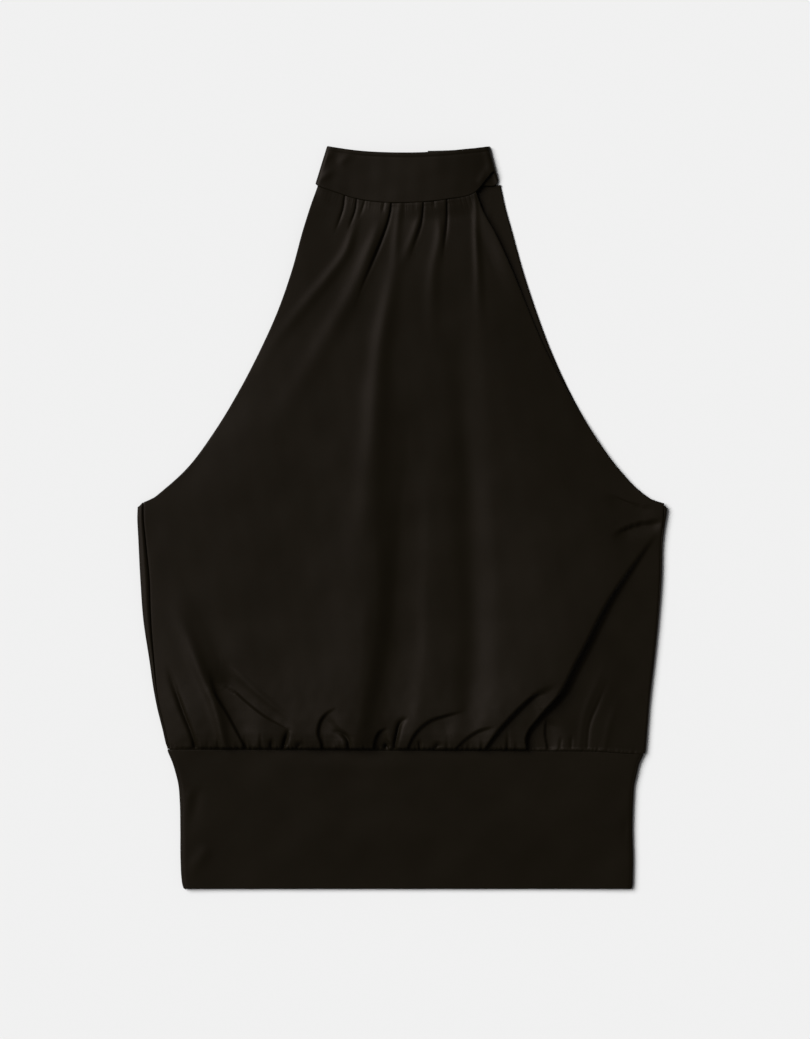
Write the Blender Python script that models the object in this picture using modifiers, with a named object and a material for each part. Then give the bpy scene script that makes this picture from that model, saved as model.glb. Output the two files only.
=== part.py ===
"""A choker neck top laid flat, front up, at its real size.

The front panel is gathered into a doubled neckband and a doubled waistband. It lies on the back
panel, whose cloth comes round both sides to the side seams. X runs across the top, Y towards
the neck and Z up from the surface that the top lies on. Lengths are in millimetres until
they are made into points.
"""

import math
from collections import namedtuple

import bmesh
import bpy
import numpy as np

MM = 0.001

# Cloth and seams
CLOTH = 1.0  # one layer
BAND_CLOTH = 1.6  # the doubled cloth of the neckband and the waistband
SEAM_GAP = 0.6
NECK_SEAM_GAP = 0.6
BAND_SEAM_GAP = 0.65
EDGE_HEIGHT = 4.2  # from the surface to the top of a side fold
FOLD_STEPS = 6  # flat faces round a side fold

# Mesh density
GATHER_COLUMNS = 192  # two for each gather of the waist seam
WAIST_GATHERS = GATHER_COLUMNS // 2
BLEND_COLUMNS = 96
BODY_COLUMNS = 64
NECK_GATHERS = 26
CURVE_STEPS = 14  # straight stretches that stand for a fold's curve

# The body from the waist seam to the underarms, a row for each section.
# The strip is the back panel's cloth that shows between the outline and the side seam.
# Middle is the height of the front's top face in the middle of the row, without its folds.
Side = namedtuple("Side", "left_y right_y left strip_left right strip_right middle rows")
SIDES = (
    Side(-196.6, -198.8, -200.2, 3.0, 207.0, 3.0, 4.0, 1),
    Side(-195.5, -197.7, -200.2, 3.0, 207.0, 3.0, 4.4, 1),
    Side(-192.5, -194.6, -201.4, 3.0, 207.4, 3.0, 5.0, 1),
    Side(-188.5, -190.5, -202.4, 3.0, 207.8, 3.0, 5.5, 1),
    Side(-182.0, -184.0, -203.8, 3.0, 208.3, 3.0, 5.8, 1),
    Side(-173.0, -174.0, -206.1, 3.0, 209.1, 3.0, 5.9, 1),
    Side(-162.0, -162.5, -208.8, 3.0, 210.0, 3.0, 5.9, 1),
    Side(-150.0, -150.0, -211.2, 3.4, 211.2, 3.0, 5.9, 3),
    Side(-121.0, -121.0, -215.5, 5.0, 214.6, 3.0, 5.8, 3),
    Side(-87.0, -87.0, -220.6, 7.6, 218.0, 3.0, 5.7, 2),
    Side(-53.0, -53.0, -223.1, 8.8, 220.6, 3.0, 5.6, 1),
    Side(-19.0, -19.0, -224.8, 7.2, 221.9, 3.0, 5.5, 1),
    Side(2.0, 0.0, -225.7, 6.2, 224.4, 3.2, 5.4, 1),
    Side(13.0, 12.0, -225.4, 6.0, 225.7, 3.8, 5.4, 0),
)

# The armholes from the underarms to the neck seam, a row for each section. The back's right
# edge shows beyond the front's. Dip is how much of the neck seam's curve a row has, and edge
# is the height of the front's top face along the armhole.
Armhole = namedtuple("Armhole", "left_x left_y right_x right_y back_x back_y dip edge middle rows")
ARMHOLES = (
    Armhole(-219.4, 13.0, 221.6, 12.0, 223.3, 12.0, 0.00, 4.2, 5.40, 1),
    Armhole(-211.0, 16.8, 208.7, 16.6, 209.5, 17.2, 0.00, 3.6, 5.40, 1),
    Armhole(-202.7, 23.4, 199.8, 23.2, 200.6, 24.0, 0.00, 3.2, 5.35, 1),
    Armhole(-184.0, 40.4, 183.8, 40.4, 184.6, 41.0, 0.00, 2.9, 5.30, 1),
    Armhole(-158.5, 74.4, 159.8, 74.4, 160.6, 74.6, 0.08, 2.8, 5.30, 2),
    Armhole(-138.0, 108.4, 139.2, 108.4, 141.7, 108.4, 0.18, 2.8, 5.30, 1),
    Armhole(-120.3, 142.4, 121.2, 142.4, 126.2, 142.4, 0.30, 2.8, 5.30, 1),
    Armhole(-105.0, 176.4, 106.5, 176.4, 113.5, 176.4, 0.45, 2.8, 5.40, 2),
    Armhole(-93.1, 210.4, 93.0, 209.0, 102.4, 210.4, 0.62, 2.8, 5.50, 2),
    Armhole(-83.7, 244.4, 78.4, 241.0, 93.0, 244.4, 0.80, 2.8, 5.60, 2),
    Armhole(-76.8, 266.0, 67.0, 262.0, 87.4, 264.6, 0.93, 3.2, 5.80, 2),
    Armhole(-71.6, 280.8, 62.0, 275.8, 83.8, 281.5, 1.00, 4.4, 6.20, 0),
)
BACK_INSET = 3.0  # the back's left armhole edge lies this far inside the front's

# The waistband, a row for each section from its seam to the hem
Band = namedtuple("Band", "left_y right_y left right rows")
BANDS = (
    Band(-197.05, -199.25, -199.9, 206.6, 1),
    Band(-198.2, -200.4, -199.9, 206.6, 1),
    Band(-202.5, -204.3, -198.3, 204.1, 1),
    Band(-208.0, -209.0, -196.0, 202.0, 1),
    Band(-217.0, -217.5, -193.2, 199.8, 1),
    Band(-227.0, -227.0, -190.8, 197.6, 1),
    Band(-241.0, -241.0, -189.6, 196.6, 2),
    Band(-266.0, -266.0, -189.1, 195.9, 2),
    Band(-292.0, -292.0, -188.9, 196.5, 1),
    Band(-306.0, -306.0, -188.2, 196.2, 1),
    Band(-313.0, -313.0, -187.2, 195.9, 1),
    Band(-315.9, -315.9, -186.2, 195.2, 0),
)
BAND_COLUMNS = 30
BACK_COLUMNS = 8
BAND_SINK = 0.6  # how far the waistband's front lies lower in its middle than at its sides

# The neckband's path, a row for each station: from the lap's outer end, round the right fold,
# across the front to the left, round the left fold and back to the lap's inner end.
# The height is that of the strip's outer face, which is its underside on the back.
Neck = namedtuple("Neck", "top_x top_y low_x low_y height steps")
NECK_BACK = (
    Neck(21.5, 311.9, 21.5, 282.0, 1.9, 2),
    Neck(40.0, 312.4, 41.0, 282.0, 1.9, 2),
    Neck(57.0, 313.8, 60.0, 282.0, 0.3, 1),
    Neck(66.0, 314.9, 71.0, 282.0, 0.0, 1),
    Neck(71.5, 315.6, 78.2, 282.2, 0.0, 2),
    Neck(74.4, 315.9, 80.9, 286.5, 2.3, 2),
)
NECK_FRONT = (
    Neck(71.6, 315.4, 77.4, 294.0, 4.8, 1),
    Neck(67.0, 314.6, 71.5, 287.6, 5.3, 1),
    Neck(56.0, 313.4, 61.6, 276.2, 6.4, 2),
    Neck(36.0, 311.2, 37.8, 270.2, 7.4, 2),
    Neck(12.0, 310.1, 11.5, 267.5, 7.3, 2),
    Neck(-14.0, 310.4, -14.9, 267.5, 6.2, 2),
    Neck(-36.0, 311.8, -36.1, 270.2, 5.3, 1),
    Neck(-54.0, 314.2, -59.9, 277.4, 4.8, 1),
    Neck(-61.2, 315.5, -70.6, 281.2, 4.6, 2),
)
NECK_LAP = (
    Neck(-64.2, 315.9, -74.2, 283.6, 2.3, 2),
    Neck(-61.2, 315.2, -71.0, 282.4, 0.0, 1),
    Neck(-52.0, 314.0, -60.0, 282.0, 0.0, 2),
    Neck(-10.0, 310.6, -12.0, 282.0, 0.4, 2),
    Neck(10.0, 310.2, 10.0, 282.0, 2.6, 2),
    Neck(22.0, 310.8, 22.0, 282.0, 3.85, 2),
    Neck(40.4, 311.6, 40.4, 282.0, 3.85, 0),
)
NECK_ROWS = 5

# Fastening
BUTTON_X = 31.0
BUTTON_YS = (304.5, 291.5)
BUTTON_DIAMETER = 10.0
BUTTON_THICKNESS = 1.6
BUTTON_HOLE = 1.3
BUTTON_HOLE_PITCH = 2.6
BUTTON_DISH_DEPTH = 0.5
BUTTON_DISH_DIAMETER = 6.6
SLIT_TOP = (31.0, 290.0)
SLIT_FOOT = (24.0, 176.0)
SLIT_WIDTH = 1.6
SLIT_EYE = 3.2  # the slit's rounded foot

# Folds of the front panel. A path runs through its points. A roll is a soft ridge, or a soft
# trough where its height is negative. A lap is a step whose high side is on the path's left.
# A rooted fold is at full strength where its path begins, at a seam.
Fold = namedtuple("Fold", "path width_start width_end height kind rooted")
FOLDS = (
    # creases below the neckband
    Fold(((-50, 274), (-56, 256), (-64, 236)), 3.8, 4.6, -1.4, "roll", True),
    Fold(((-38, 271), (-43, 252), (-50, 234)), 3.6, 4.2, -1.2, "roll", True),
    Fold(((-10, 267), (-18, 232), (-40, 182)), 4.2, 5.6, -2.5, "roll", True),
    Fold(((17, 267), (13, 238), (2, 205)), 4.0, 5.0, -1.9, "roll", True),
    Fold(((37, 269), (37, 245), (33, 214)), 3.8, 5.0, -1.6, "roll", True),
    # rolls that fan down from the neckband
    Fold(((-34, 257), (-61, 214), (-103, 160), (-140, 104)), 4.0, 9.0, 1.9, "roll", False),
    Fold(((-17, 257), (-44, 198), (-66, 159), (-104, 91)), 5.0, 12.0, 1.6, "roll", False),
    Fold(((-4, 262), (-16, 193), (-32, 100), (-56, -40)), 5.0, 17.0, 2.2, "roll", False),
    Fold(((30, 262), (20, 201), (17, 130)), 4.0, 9.0, 1.2, "roll", False),
    Fold(((60, 268), (60, 185), (64, 57), (68, -160)), 4.5, 12.0, 2.4, "roll", False),
    # long troughs of the middle
    Fold(((-5, 160), (-15, 32), (-31, -160)), 10.0, 12.0, -1.5, "roll", False),
    Fold(((34, 215), (37, 80), (37, -60), (36, -166)), 8.0, 13.0, -2.0, "roll", False),
    # lower left
    Fold(((-152, -194), (-172, -146), (-206, -58)), 4.5, 7.0, 2.4, "roll", True),
    Fold(((-176, -194), (-190, -158), (-202, -100)), 3.6, 5.0, -2.2, "roll", True),
    Fold(((-138, -188), (-160, -148), (-184, -74)), 3.6, 7.0, -2.2, "roll", True),
    Fold(((-161, -143), (-139, -153), (-105, -179), (-96, -182)), 10.0, 8.0, 3.0, "lap", False),
    # lower middle
    Fold(((-65, -194), (-70, -177), (-53, -160)), 3.6, 5.5, -2.4, "roll", True),
    Fold(((-31, -194), (-36, -171), (-31, -146)), 4.0, 6.5, -1.8, "roll", True),
    Fold(((-7, -194), (-4, -184), (3, -170)), 3.4, 4.4, -2.2, "roll", True),
    Fold(((4, -194), (13, -181), (26, -171), (47, -165)), 9.0, 9.0, 3.0, "lap", True),
    Fold(((45, -195), (52, -189), (63, -181), (75, -178)), 7.0, 7.0, 2.2, "lap", True),
    Fold(((71, -195), (83, -181), (112, -151), (125, -143)), 9.0, 10.0, 3.6, "lap", True),
    # the deep fold from the waist to the right underarm
    Fold(((104, -195), (119, -165), (154, -112), (215, -15)), 10.0, 22.0, 5.4, "lap", True),
    Fold(((124, -196), (121, -180), (122, -168)), 3.2, 4.0, -1.6, "roll", True),
    Fold(((156, -196), (165, -165), (175, -145)), 3.4, 4.4, -1.5, "roll", True),
    # small creases at the right underarm
    Fold(((222, -3), (205, -4), (187, -12)), 3.4, 4.0, -1.3, "roll", True),
    Fold(((199, 10), (191, 14), (182, 17)), 3.2, 3.6, -1.0, "roll", False),
)
LAP_STEP = 0.42  # half of a lap's step, as a share of its width
LAP_STEP_LEAST = 3.4

# Soft folds of the waistband's front: the path and what it adds, as above
BAND_FOLDS = (
    Fold(((-181, -228), (-185, -246), (-188, -268)), 5.0, 8.0, 0.7, "roll", False),
    Fold(((-172, -226), (-176, -248), (-182, -270)), 5.0, 7.0, -0.5, "roll", False),
    Fold(((-163, -278), (-174, -294), (-184, -308)), 5.0, 8.0, 0.6, "roll", False),
    Fold(((198, -250), (192, -262), (191, -275)), 4.0, 4.5, -0.6, "roll", False),
    Fold(((-120, -206), (-20, -212), (90, -205)), 7.0, 9.0, 0.35, "roll", False),
    Fold(((-60, -262), (30, -268), (120, -258)), 16.0, 18.0, 0.3, "roll", False),
)
SEAM_SETTLE = 7.0  # a fold reaches its full height this far from a seam
EDGE_SETTLE = 16.0  # and this far from a side seam or an armhole edge
LOWEST_TOP = 2.45  # the front's top face is never lower, so that it clears the back
MIDDLE_SPREAD = 2.6  # how flat a row's rise from its edges to its middle is on top

BLACK_CLOTH = (0.0115, 0.0098, 0.0078, 1.0)
BLACK_BUTTON = (0.014, 0.013, 0.012, 1.0)


def clear_scene():
    for obj in list(bpy.data.objects):
        bpy.data.objects.remove(obj, do_unlink=True)


def smooth_step(low, high, value):
    t = np.clip((np.asarray(value, float) - low) / (high - low), 0.0, 1.0)
    return t * t * (3.0 - 2.0 * t)


def through(stations, t):
    """The point at t of a smooth curve through the stations, which are at t = 0, 1, 2 and so on."""
    points = np.asarray(stations, float)
    last = len(points) - 1
    chords = np.maximum(np.linalg.norm(np.diff(points, axis=0), axis=1), 1e-6)
    slopes = np.diff(points, axis=0) / chords[:, None]
    tangents = np.empty_like(points)
    tangents[0], tangents[-1] = slopes[0], slopes[-1]
    for i in range(1, last):
        share = chords[i - 1] / (chords[i - 1] + chords[i])
        tangents[i] = slopes[i - 1] * (1.0 - share) + slopes[i] * share
    i = min(int(t), last - 1)
    s = t - i
    start, end = tangents[i] * chords[i], tangents[i + 1] * chords[i]
    return (
        (2 * s**3 - 3 * s**2 + 1) * points[i]
        + (s**3 - 2 * s**2 + s) * start
        + (3 * s**2 - 2 * s**3) * points[i + 1]
        + (s**3 - s**2) * end
    )


def row_places(table, column):
    """Where the mesh rows lie, in stations, given how many rows each section has."""
    places = [0.0]
    for i, section in enumerate(table[:-1]):
        count = getattr(section, column)
        places += [i + (k + 1) / count for k in range(count)]
    return places


def side_section(t):
    """Left and right outline, and the strips and middle, between the waist and the underarms."""
    left = through([(s.left, s.left_y) for s in SIDES], t)
    right = through([(s.right, s.right_y) for s in SIDES], t)
    rest = through([(s.strip_left, s.strip_right, s.middle) for s in SIDES], t)
    return left, right, rest


def front_rows():
    """For each mesh row of the front: left end, right end, dip, edge, middle and columns."""
    rows = []
    for t in row_places(SIDES, "rows"):
        left, right, (strip_left, strip_right, middle) = side_section(t)
        columns = GATHER_COLUMNS if t <= 2 else BLEND_COLUMNS if t <= 6 else BODY_COLUMNS
        ends = (left[0] + strip_left, left[1]), (right[0] - strip_right, right[1])
        rows.append((*ends, 0.0, EDGE_HEIGHT, middle, columns))
    for t in row_places(ARMHOLES, "rows")[1:]:
        left = through([(a.left_x, a.left_y) for a in ARMHOLES], t)
        right = through([(a.right_x, a.right_y) for a in ARMHOLES], t)
        dip, edge, middle = through([(a.dip, a.edge, a.middle) for a in ARMHOLES], t)
        rows.append((tuple(left), tuple(right), dip, edge, middle, BODY_COLUMNS))
    return rows


def neck_curve():
    """The neckband's lower front edge from left to right: x, y and height."""
    lows = [(s.low_x, s.low_y, s.height) for s in NECK_FRONT]
    last = len(lows) - 1
    points = [through(lows, last * k / 60.0) for k in range(60, -1, -1)]
    return np.array(points).T


def neck_dip(u):
    """How far the neck seam lies below the straight line between the front's top corners."""
    end = ARMHOLES[-1]
    x = end.left_x + (end.right_x - end.left_x) * u
    line = end.left_y + (end.right_y - end.left_y) * u
    curve_x, curve_y, _ = neck_curve()
    return line - (np.interp(x, curve_x, curve_y) - NECK_SEAM_GAP)


def along_path(path):
    """Points along a fold's curve."""
    last = len(path) - 1
    return np.array([through(path, last * k / CURVE_STEPS) for k in range(CURVE_STEPS + 1)])


def fold_height(fold, x, y):
    """What one fold adds to the height at each point."""
    line = along_path(fold.path)
    nearest = np.full(x.shape, np.inf)
    side = np.zeros_like(x)
    share = np.zeros_like(x)
    for k, (start, end) in enumerate(zip(line[:-1], line[1:])):
        run = end - start
        length = np.hypot(*run)
        s = np.clip(((x - start[0]) * run[0] + (y - start[1]) * run[1]) / length**2, 0, 1)
        away_x, away_y = x - start[0] - s * run[0], y - start[1] - s * run[1]
        distance = np.hypot(away_x, away_y)
        closer = distance < nearest
        turned = np.sign(run[0] * away_y - run[1] * away_x)
        side = np.where(closer, turned * distance, side)
        share = np.where(closer, (k + s) / CURVE_STEPS, share)
        nearest = np.where(closer, distance, nearest)
    width = fold.width_start + (fold.width_end - fold.width_start) * share
    taper = 1.0 - smooth_step(0.5, 1.0, share)
    if not fold.rooted:
        taper = taper * smooth_step(0.0, 0.3, share)
    if fold.kind == "roll":
        return fold.height * taper * np.exp(-((side / width) ** 2))
    step = np.maximum(LAP_STEP * width, LAP_STEP_LEAST)
    rise = smooth_step(-1.0, 1.0, side / step)
    high = np.exp(-((np.maximum(side, 0.0) / width) ** 2))
    low = 0.22 * np.exp(-((np.minimum(side, 0.0) / (0.5 * width)) ** 2))
    return fold.height * taper * (high * rise - low * (1.0 - rise))


def gather_height(u, distance, count, height, reach):
    """The small waves of a gathered seam: two columns of the mesh for each wave."""
    rise = smooth_step(0.0, 2.0, distance) * np.exp(-distance / reach)
    uneven = 0.65 + 0.35 * np.sin(17.0 * u + 2.0 * np.sin(41.0 * u))
    return height * rise * uneven * np.cos(2.0 * math.pi * count * u)


def neck_level(x):
    """The height of the neckband's front face where the front panel meets it."""
    curve_x, _, heights = neck_curve()
    return np.interp(x, curve_x, heights) - 0.2


def band_level(u):
    """The height of the waistband's front face from its left side to its right."""
    return EDGE_HEIGHT - BAND_SINK * smooth_step(0.0, 0.16, np.minimum(u, 1.0 - u))


def front_height(u, x, y, left, right, edge, middle):
    """The height of the front panel's top face at points of one mesh row."""
    first, last = SIDES[0], ARMHOLES[-1]
    from_waist = y - first.left_y - (first.right_y - first.left_y) * u
    neck = last.left_y + (last.right_y - last.left_y) * u - neck_dip(u)
    from_neck = neck - y
    from_edge = np.minimum(u, 1.0 - u) * (right[0] - left[0])
    settle = (
        smooth_step(0.0, SEAM_SETTLE, from_waist)
        * smooth_step(-0.5, 0.5 * SEAM_SETTLE, from_neck)
        * smooth_step(0.0, EDGE_SETTLE, from_edge)
    )
    base = edge + (middle - edge) * (1.0 - np.abs(2.0 * u - 1.0) ** MIDDLE_SPREAD)
    base = base + (band_level(u) - base) * (1.0 - smooth_step(0.0, 4.0, from_waist))
    base = base + (neck_level(x) - base) * (1.0 - smooth_step(0.0, 26.0, from_neck))
    height = base + settle * sum(fold_height(fold, x, y) for fold in FOLDS)
    height = height + gather_height(u, from_waist, WAIST_GATHERS, 0.75, 6.0)
    height = height + gather_height(u, from_neck, NECK_GATHERS, 0.5, 9.0)
    return np.maximum(height, LOWEST_TOP)


def stitch_rows(mesh, lower, upper):
    """Faces between two rows of vertices that may differ in number."""
    if len(lower) == len(upper):
        for k in range(len(lower) - 1):
            mesh.faces.new((lower[k], lower[k + 1], upper[k + 1], upper[k]))
        return
    i = j = 0
    while i < len(lower) - 1 or j < len(upper) - 1:
        next_lower = (i + 1) / (len(lower) - 1)
        next_upper = (j + 1) / (len(upper) - 1)
        if next_lower <= next_upper:
            mesh.faces.new((lower[i], lower[i + 1], upper[j]))
            i += 1
        else:
            mesh.faces.new((lower[i], upper[j + 1], upper[j]))
            j += 1


def sheet_object(name, rows, thickness, material):
    """A cloth wall: the rows of points are its outer face, and Solidify gives it its thickness."""
    mesh = bmesh.new()
    made = [[mesh.verts.new([c * MM for c in point]) for point in row] for row in rows]
    for lower, upper in zip(made[:-1], made[1:]):
        stitch_rows(mesh, lower, upper)
    return finish_sheet(name, mesh, thickness, material)


def finish_sheet(name, mesh, thickness, material):
    data = bpy.data.meshes.new(name)
    mesh.to_mesh(data)
    mesh.free()
    obj = bpy.data.objects.new(name, data)
    obj.data.materials.append(material)
    part_collection().objects.link(obj)
    wall = obj.modifiers.new("cloth thickness", "SOLIDIFY")
    wall.thickness = thickness * MM
    wall.offset = -1.0
    wall.use_rim = True
    data.shade_smooth()
    return obj


def part_collection():
    name = "choker_neck_top"
    found = bpy.data.collections.get(name)
    if found is None:
        found = bpy.data.collections.new(name)
        bpy.context.scene.collection.children.link(found)
    return found


def cutter_collection():
    name = "cutters"
    found = bpy.data.collections.get(name)
    if found is None:
        found = bpy.data.collections.new(name)
        bpy.context.scene.collection.children.link(found)
    return found


def plain_material(name, colour, roughness):
    material = bpy.data.materials.new(name)
    material.use_nodes = True
    shader = material.node_tree.nodes["Principled BSDF"]
    shader.inputs["Base Color"].default_value = colour
    shader.inputs["Roughness"].default_value = roughness
    shader.inputs["Metallic"].default_value = 0.0
    return material


def build_front(material):
    rows = []
    for left, right, dip, edge, middle, columns in front_rows():
        u = np.linspace(0.0, 1.0, columns + 1)
        x = left[0] + (right[0] - left[0]) * u
        y = left[1] + (right[1] - left[1]) * u - dip * neck_dip(u)
        z = front_height(u, x, y, left, right, edge, middle)
        rows.append(list(zip(x, y, z)))
    return sheet_object("front_panel", rows, CLOTH, material)


def side_fold(outline, seam, inward, gap):
    """A side fold's section, from the seam on top, round the outline, to the underside."""
    radius = EDGE_HEIGHT / 2.0
    section = [(seam - inward * gap, EDGE_HEIGHT)]
    for k in range(FOLD_STEPS + 1):
        angle = math.pi * k / FOLD_STEPS
        x = outline + inward * radius * (1.0 - math.sin(angle))
        section.append((x, radius * (1.0 + math.cos(angle))))
    return section


def folded_row(left, right, strip_left, strip_right, gap):
    """One row of a back piece: left side fold, flat underside, right side fold."""
    before = side_fold(left[0], left[0] + strip_left, 1.0, gap)
    after = side_fold(right[0], right[0] - strip_right, -1.0, gap)[::-1]
    inner = np.linspace(before[-1][0], after[0][0], BACK_COLUMNS + 1)[1:-1]
    section = before + [(x, 0.0) for x in inner] + after
    slope = (right[1] - left[1]) / (right[0] - left[0])
    return [(x, left[1] + slope * (x - left[0]), z) for x, z in section]


def build_back(material):
    """The back panel: side folds up to the underarms, and flat above them."""
    mesh = bmesh.new()
    rows = []
    for t in row_places(SIDES, "rows"):
        left, right, (strip_left, strip_right, _) = side_section(t)
        row = folded_row(left, right, strip_left, strip_right, SEAM_GAP)
        rows.append([mesh.verts.new([c * MM for c in point]) for point in row])
    for lower, upper in zip(rows[:-1], rows[1:]):
        stitch_rows(mesh, upper, lower)
    folded = FOLD_STEPS + 1
    lower = rows[-1][folded:-folded]
    for t in row_places(ARMHOLES, "rows")[1:]:
        left = through([(a.left_x, a.left_y) for a in ARMHOLES], t)
        right = through([(a.back_x, a.back_y) for a in ARMHOLES], t)
        inset = BACK_INSET * min(1.0, t)
        start, end = left[0] + inset, right[0]
        # The back's neck edge runs straight, so its last row ends level with the right end.
        left_y = left[1] + (right[1] - left[1]) * smooth_step(8.0, 11.0, t)
        row = []
        for u in np.linspace(0.0, 1.0, BACK_COLUMNS + 1):
            point = start + (end - start) * u, left_y + (right[1] - left_y) * u, 0.0
            row.append(mesh.verts.new([c * MM for c in point]))
        stitch_rows(mesh, row, lower)
        lower = row
    back = finish_sheet("back_panel", mesh, CLOTH, material)
    cut_slit(back)
    return back


def cut_slit(back):
    """The centre back slit: a narrow wedge with a round foot, cut right through."""
    bpy.ops.mesh.primitive_cylinder_add(
        vertices=12,
        radius=SLIT_EYE / 2.0 * MM,
        depth=4.0 * CLOTH * MM,
        location=(SLIT_FOOT[0] * MM, SLIT_FOOT[1] * MM, CLOTH / 2.0 * MM),
    )
    eye = bpy.context.object
    run = np.subtract(SLIT_TOP, SLIT_FOOT)
    middle = np.add(SLIT_TOP, SLIT_FOOT) / 2.0
    bpy.ops.mesh.primitive_cube_add(
        size=1.0,
        location=(middle[0] * MM, middle[1] * MM, CLOTH / 2.0 * MM),
        rotation=(0.0, 0.0, math.atan2(run[1], run[0])),
    )
    slot = bpy.context.object
    slot.scale = (np.hypot(*run) * MM, SLIT_WIDTH * MM, 4.0 * CLOTH * MM)
    for name, cutter in (("slit_eye_cutter", eye), ("slit_cutter", slot)):
        hide_cutter(name, cutter)
        cut = back.modifiers.new(name, "BOOLEAN")
        cut.operation = "DIFFERENCE"
        cut.object = cutter


def hide_cutter(name, cutter):
    cutter.name = name
    cutter.display_type = "WIRE"
    cutter.hide_render = True
    for collection in cutter.users_collection:
        collection.objects.unlink(cutter)
    cutter_collection().objects.link(cutter)


def band_section(t):
    left = through([(b.left, b.left_y) for b in BANDS], t)
    right = through([(b.right, b.right_y) for b in BANDS], t)
    return left, right


def build_waistband_front(material):
    rows = []
    strip = SIDES[0].strip_left
    even = np.linspace(0.0, 1.0, BAND_COLUMNS + 1)
    u = 0.4 * even + 0.3 * (1.0 - np.cos(math.pi * even))  # closer together at the sides
    for t in row_places(BANDS, "rows")[::-1]:
        left, right = band_section(t)
        x = left[0] + strip + (right[0] - left[0] - 2.0 * strip) * u
        y = left[1] + (right[1] - left[1]) * u
        from_edge = np.minimum(u, 1.0 - u) * (right[0] - left[0])
        from_top = BANDS[0].left_y - y
        settle = smooth_step(0.0, 9.0, from_edge) * smooth_step(0.0, 6.0, from_top)
        z = band_level(u) + settle * sum(fold_height(fold, x, y) for fold in BAND_FOLDS)
        rows.append(list(zip(x, y, np.maximum(z, 2.0 * BAND_CLOTH + SEAM_GAP))))
    return sheet_object("waistband_front", rows, BAND_CLOTH, material)


def build_waistband_back(material):
    strip = SIDES[0].strip_left
    mesh = bmesh.new()
    rows = []
    for t in row_places(BANDS, "rows"):
        row = folded_row(*band_section(t), strip, strip, BAND_SEAM_GAP)
        rows.append([mesh.verts.new([c * MM for c in point]) for point in row])
    for upper, lower in zip(rows[:-1], rows[1:]):
        stitch_rows(mesh, upper, lower)
    return finish_sheet("waistband_back", mesh, BAND_CLOTH, material)


def build_neckband(material):
    """The choker: rows of points across the strip at each place along its path."""
    stations = NECK_BACK + NECK_FRONT + NECK_LAP
    tops = [(s.top_x, s.top_y, s.height) for s in stations]
    lows = [(s.low_x, s.low_y, s.height) for s in stations]
    mesh = bmesh.new()
    rings = []
    for t in row_places(stations, "steps"):
        top, low = through(tops, t), through(lows, t)
        top[2] = low[2] = max(top[2], low[2], 0.0)
        ring = [low + (top - low) * k / NECK_ROWS for k in range(NECK_ROWS + 1)]
        rings.append([mesh.verts.new([c * MM for c in point]) for point in ring])
    for before, after in zip(rings[:-1], rings[1:]):
        stitch_rows(mesh, before, after)
    return finish_sheet("neckband", mesh, BAND_CLOTH, material)


def build_button(name, y, material):
    """A flat button with a dished middle and four holes, face down."""
    mesh = bmesh.new()
    bmesh.ops.create_cone(
        mesh,
        cap_ends=True,
        segments=28,
        radius1=BUTTON_DIAMETER / 2.0 * MM,
        radius2=BUTTON_DIAMETER / 2.0 * MM,
        depth=BUTTON_THICKNESS * MM,
    )
    data = bpy.data.meshes.new(name)
    mesh.to_mesh(data)
    mesh.free()
    button = bpy.data.objects.new(name, data)
    button.location = (BUTTON_X * MM, y * MM, BUTTON_THICKNESS / 2.0 * MM)
    button.data.materials.append(material)
    part_collection().objects.link(button)
    bevel = button.modifiers.new("rounded rim", "BEVEL")
    bevel.width = 0.35 * MM
    bevel.segments = 2
    bevel.limit_method = "ANGLE"
    half = BUTTON_HOLE_PITCH / 2.0
    cutters = [("dish", 0.0, 0.0, BUTTON_DISH_DIAMETER, BUTTON_DISH_DEPTH)]
    cutters += [
        (f"hole_{i}{j}", i * half, j * half, BUTTON_HOLE, 3.0 * BUTTON_THICKNESS)
        for i in (-1, 1)
        for j in (-1, 1)
    ]
    for label, dx, dy, diameter, depth in cutters:
        bpy.ops.mesh.primitive_cylinder_add(
            vertices=24 if label == "dish" else 8,
            radius=diameter / 2.0 * MM,
            depth=2.0 * depth * MM,
            location=((BUTTON_X + dx) * MM, (y + dy) * MM, 0.0),
        )
        cutter = bpy.context.object
        hide_cutter(f"{name}_{label}_cutter", cutter)
        cut = button.modifiers.new(label, "BOOLEAN")
        cut.operation = "DIFFERENCE"
        cut.object = cutter
    return button


def main():
    clear_scene()
    cloth = plain_material("black_crepe", BLACK_CLOTH, 0.62)
    button_material = plain_material("black_button", BLACK_BUTTON, 0.3)
    build_front(cloth)
    build_back(cloth)
    build_waistband_front(cloth)
    build_waistband_back(cloth)
    build_neckband(cloth)
    for name, y in zip(("button_upper", "button_lower"), BUTTON_YS):
        build_button(name, y, button_material)


main()
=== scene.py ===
"""The looks of a choker neck top laid flat: near-black satin crepe, gathered into its bands.

Lengths are in millimetres until they are made into points. The sizes repeat those of the
solids. Folds are placed by the photograph's pixels, through from_photo.
"""

import math
from collections import namedtuple

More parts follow.
